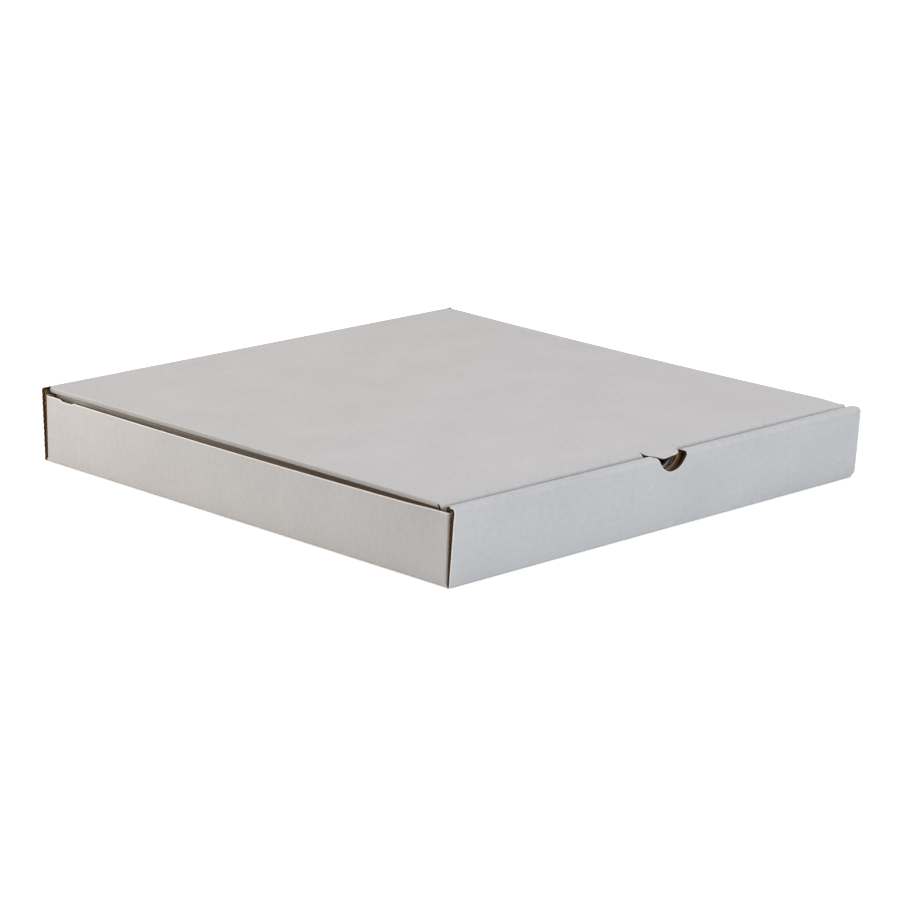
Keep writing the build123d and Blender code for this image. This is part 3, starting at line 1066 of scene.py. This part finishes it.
def makeThumbTab(root):
    sheet = lid
    radius = sheet["tabRadius"]
    middle = sheet["tabX"]
    reach = radius + sheet["tabMargin"]
    disc = ("INTERSECT", halfRound(radius, middle, lambda away: root + away))
    columns = evenLines(middle - reach, middle + reach, sheet["tabStep"])
    start, end = root - sheet["tabLap"], root + reach
    rows = evenLines(start, end, sheet["tabStep"])
    pieces = [layer(kind, columns, rows, cuts=[disc]) for kind in ("outer", "inner")]
    pieces.append(layer("medium", columns[[0, -1]], evenLines(start, end, waveStep), cuts=[disc]))
    tab = joined(pieces, "thumb_tab")

    def fromCut(x, y):
        return radius - np.hypot(x - middle, np.maximum(y - root, 0))

    keepFlat(tab, fromCut)
    co = places(tab)
    across = (co[:, 0] - middle) / radius
    out = np.clip((co[:, 1] - root) / radius, 0, 1)
    rim = smoothStep(1 - fromCut(co[:, 0], co[:, 1]) / sheet["pinchBand"])
    rim *= smoothStep(out * sheet["pinchEase"])
    co[:, 2] += rim * sheet["tabPinch"] * (1 - co[:, 2] / board["thickness"])
    rub = np.exp(-((across - sheet["rubPlace"]) / sheet["rubWidth"]) ** 2)
    low = sheet["tabDrop"] * (1 + sheet["tabTwist"] * across) + sheet["tabRub"] * rub
    co[:, 2] += low * smoothStep(out * sheet["dropEase"])
    setPlaces(tab, co)
    return tab


def turnOver(piece):
    onlySelect(piece)
    turn(piece, np.ones(len(piece.data.vertices), dtype=bool), "X", (0, 0, lid["top"] / 2), math.pi)


def sagLid(piece):
    # the panel sags a little between its corners on the right, where its front corner dips as well
    co = places(piece)
    hang = np.clip(1 - (co[:, 1] / lid["front"]) ** 2, 0, 1) * growth(co[:, 0], *lid["sagFrom"])
    co[:, 2] -= lid["sag"] * hang
    co[:, 2] -= lid["cornerDip"] * growth(co[:, 0], *lid["dipRight"]) * growth(-co[:, 1], *lid["dipFront"])
    stepDown, stepOver = lid["stepFrom"]
    below = smoothStep((lid["top"] - stepDown - co[:, 2]) / stepOver)
    onFlap = np.abs(co[:, 0]) > lid["halfWidth"] - lid["stepBand"]
    co[:, 0] -= np.sign(co[:, 0]) * lid["flapStep"] * below * onFlap
    setPlaces(piece, co)


# The crease that hinges the lid on the back wall

crease = {
    "radius": 1.85,
    "halfWidth": 156.6,
    "lap": 0.02,                # how far its two edges reach past the bend
    "straight": 0.01,
    "coarse": 12.0,
}
hinge = frame["joints"][0]["pos_m"]


def makeCrease():
    radius = crease["radius"]
    outerFace = hinge[1] / metre + board["thickness"] / 2
    creases, end = unfold([(0, 0), (outerFace, 0), (outerFace, radius + crease["straight"])], [radius])
    half = crease["halfWidth"]
    rows = gridLines([creases[0].place - crease["lap"], *foldLines(creases)[:foldSteps], end + crease["lap"]])
    columns = gridLines([-half, half], evenLines(-half, half, crease["coarse"]))
    piece = joined([layer(kind, columns, rows) for kind in ("outer", "inner")], "lid_crease")
    flat = keepFlat(piece)
    fold(piece, flat, "X", 1, creases)
    co = places(piece)
    co[:, 2] = lid["top"] - co[:, 2]
    setPlaces(piece, co)
    onAllFaces(piece, bpy.ops.mesh.flip_normals)
    return piece


# Making the box

trayPiece = makeTrayRun()
finishPiece(trayPiece, "tray", "tray_board", "tray")
print("front wall, base and back wall folded:", len(trayPiece.data.polygons), "faces")

for side in (-1, 1):
    wallPiece = makeSideWall(side)
    finishPiece(wallPiece, "tray", "tray_board")
    print("side wall folded:", len(wallPiece.data.polygons), "faces")

lidPiece = makeLid()
finishPiece(lidPiece, "lid", "lid_board", "lid")
print("lid folded:", len(lidPiece.data.polygons), "faces")

creasePiece = makeCrease()
finishMesh(creasePiece)
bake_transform(creasePiece)
print("hinge crease folded")


# Camera at the photograph's angle

cameraView = {
    "azimuth": -45.022,         # degrees round from the front
    "elevation": 14.928,
    "roll": 1.236,
    "target": (27.8, 28.5, 0.0),
    "distance": 1973.5,
    "focalPixels": 3537.6,
    "imagePixels": 900,
    "sensor": 36.0,
    "clipEnd": 20.0,            # metres
}


def addCamera():
    view = cameraView
    azimuth, elevation, roll = (math.radians(view[name]) for name in ("azimuth", "elevation", "roll"))
    back = Vector((math.sin(azimuth) * math.cos(elevation), -math.cos(azimuth) * math.cos(elevation),
                   math.sin(elevation)))
    level = Vector((math.cos(azimuth), math.sin(azimuth), 0))
    rise = back.cross(level)
    right = level * math.cos(roll) + rise * math.sin(roll)
    up = rise * math.cos(roll) - level * math.sin(roll)
    place = (Vector(view["target"]) + back * view["distance"]) * metre
    bpy.ops.object.camera_add(location=place)
    camera = bpy.context.object
    camera.matrix_world = Matrix.Translation(place) @ Matrix((right, up, back)).transposed().to_4x4()
    camera.data.sensor_width = view["sensor"]
    camera.data.lens = view["focalPixels"] / view["imagePixels"] * view["sensor"]
    camera.data.clip_end = view["clipEnd"]
    bpy.context.scene.camera = camera


# Soft studio light on a pale floor

lamps = {
    "topLamp": {"place": (0.1, 0.2, 1.6), "aim": (0, 0, 0), "size": (1.6, 1.6), "power": 17.8,
                "colour": (1.0, 0.97, 0.96)},
    "backLamp": {"place": (-0.75, 1.2, 0.3), "aim": (-0.16, 0.05, 0), "size": (0.5, 0.5), "power": 13.3,
                 "colour": (1.0, 0.85, 0.72)},
    "leftLamp": {"place": (-1.2, 0.9, 0.16), "aim": (-0.16, 0, 0.02), "size": (0.6, 0.3), "power": 4.3,
                 "colour": (0.84, 0.98, 1.0)},
    "frontLamp": {"place": (0.05, -1.3, 0.6), "aim": (0.05, -0.16, 0), "size": (0.9, 0.9), "power": 11.3,
                  "colour": (0.9, 0.96, 1.0)},
}


backdrop = {
    "ambient": (0.97, 0.985, 1.0, 1.0),
    "ambientStrength": 0.06,
    "floorSize": 6.0,           # metres
    "floorDrop": 0.0002,        # metres
    "floorTone": (0.82, 0.82, 0.82, 1.0),
    "floorRoughness": 0.9,
    "glow": 0.6,                # the floor's glow towards the camera, near the box
    "glowMore": 0.5,            # the most that is added to it further out
    "glowSlope": (0.8, -0.25),
}


def addLamps():
    for name, lamp in lamps.items():
        place = Vector(lamp["place"])
        bpy.ops.object.light_add(type="AREA", location=place)
        light = bpy.context.object
        light.name = name
        light.data.energy = lamp["power"]
        light.data.shape = "RECTANGLE"
        light.data.size, light.data.size_y = lamp["size"]
        light.data.color = lamp["colour"]
        light.rotation_euler = (Vector(lamp["aim"]) - place).to_track_quat("-Z", "Y").to_euler()


def addWorld():
    world = bpy.data.worlds.new("studio")
    bpy.context.scene.world = world
    world.use_nodes = True
    tree = world.node_tree
    ambient = tree.nodes["Background"]
    ambient.inputs["Color"].default_value = backdrop["ambient"]
    ambient.inputs["Strength"].default_value = backdrop["ambientStrength"]
    white = tree.nodes.new("ShaderNodeBackground")
    white.inputs["Color"].default_value = (1, 1, 1, 1)
    white.inputs["Strength"].default_value = 1.0
    path = tree.nodes.new("ShaderNodeLightPath")
    seen = mathNode(tree, "MAXIMUM", path.outputs["Is Camera Ray"], path.outputs["Is Glossy Ray"])
    seen = mathNode(tree, "MAXIMUM", seen, path.outputs["Is Transmission Ray"])
    mix = tree.nodes.new("ShaderNodeMixShader")
    tree.links.new(seen, mix.inputs["Fac"])
    tree.links.new(ambient.outputs[0], mix.inputs[1])
    tree.links.new(white.outputs[0], mix.inputs[2])
    tree.links.new(mix.outputs[0], tree.nodes["World Output"].inputs["Surface"])


def addFloor():
    bpy.ops.object.select_all(action="DESELECT")
    bpy.ops.mesh.primitive_plane_add(size=backdrop["floorSize"], location=(0, 0, -backdrop["floorDrop"]))
    floor = bpy.context.object
    floor.name = "floor"
    material = bpy.data.materials.new("floorPaper")
    material.use_nodes = True
    tree = material.node_tree
    shader = tree.nodes["Principled BSDF"]
    shader.inputs["Base Color"].default_value = backdrop["floorTone"]
    shader.inputs["Roughness"].default_value = backdrop["floorRoughness"]
    path = tree.nodes.new("ShaderNodeLightPath")
    place = tree.nodes.new("ShaderNodeTexCoord")
    length = tree.nodes.new("ShaderNodeVectorMath")
    length.operation = "LENGTH"
    tree.links.new(place.outputs["Object"], length.inputs[0])
    away = mathNode(tree, "MULTIPLY_ADD", length.outputs["Value"], *backdrop["glowSlope"])
    more = mathNode(tree, "MINIMUM", mathNode(tree, "MAXIMUM", away, 0.0), backdrop["glowMore"])
    level = mathNode(tree, "ADD", more, backdrop["glow"])
    glow = tree.nodes.new("ShaderNodeEmission")
    glow.inputs["Color"].default_value = (1, 1, 1, 1)
    tree.links.new(mathNode(tree, "MULTIPLY", path.outputs["Is Camera Ray"], level), glow.inputs["Strength"])
    add = tree.nodes.new("ShaderNodeAddShader")
    tree.links.new(shader.outputs[0], add.inputs[0])
    tree.links.new(glow.outputs[0], add.inputs[1])
    tree.links.new(add.outputs[0], tree.nodes["Material Output"].inputs["Surface"])
    floor.data.materials.append(material)


addCamera()
addLamps()
addWorld()
addFloor()
bpy.context.scene.view_settings.view_transform = "Standard"
print("camera, lamps and floor set")
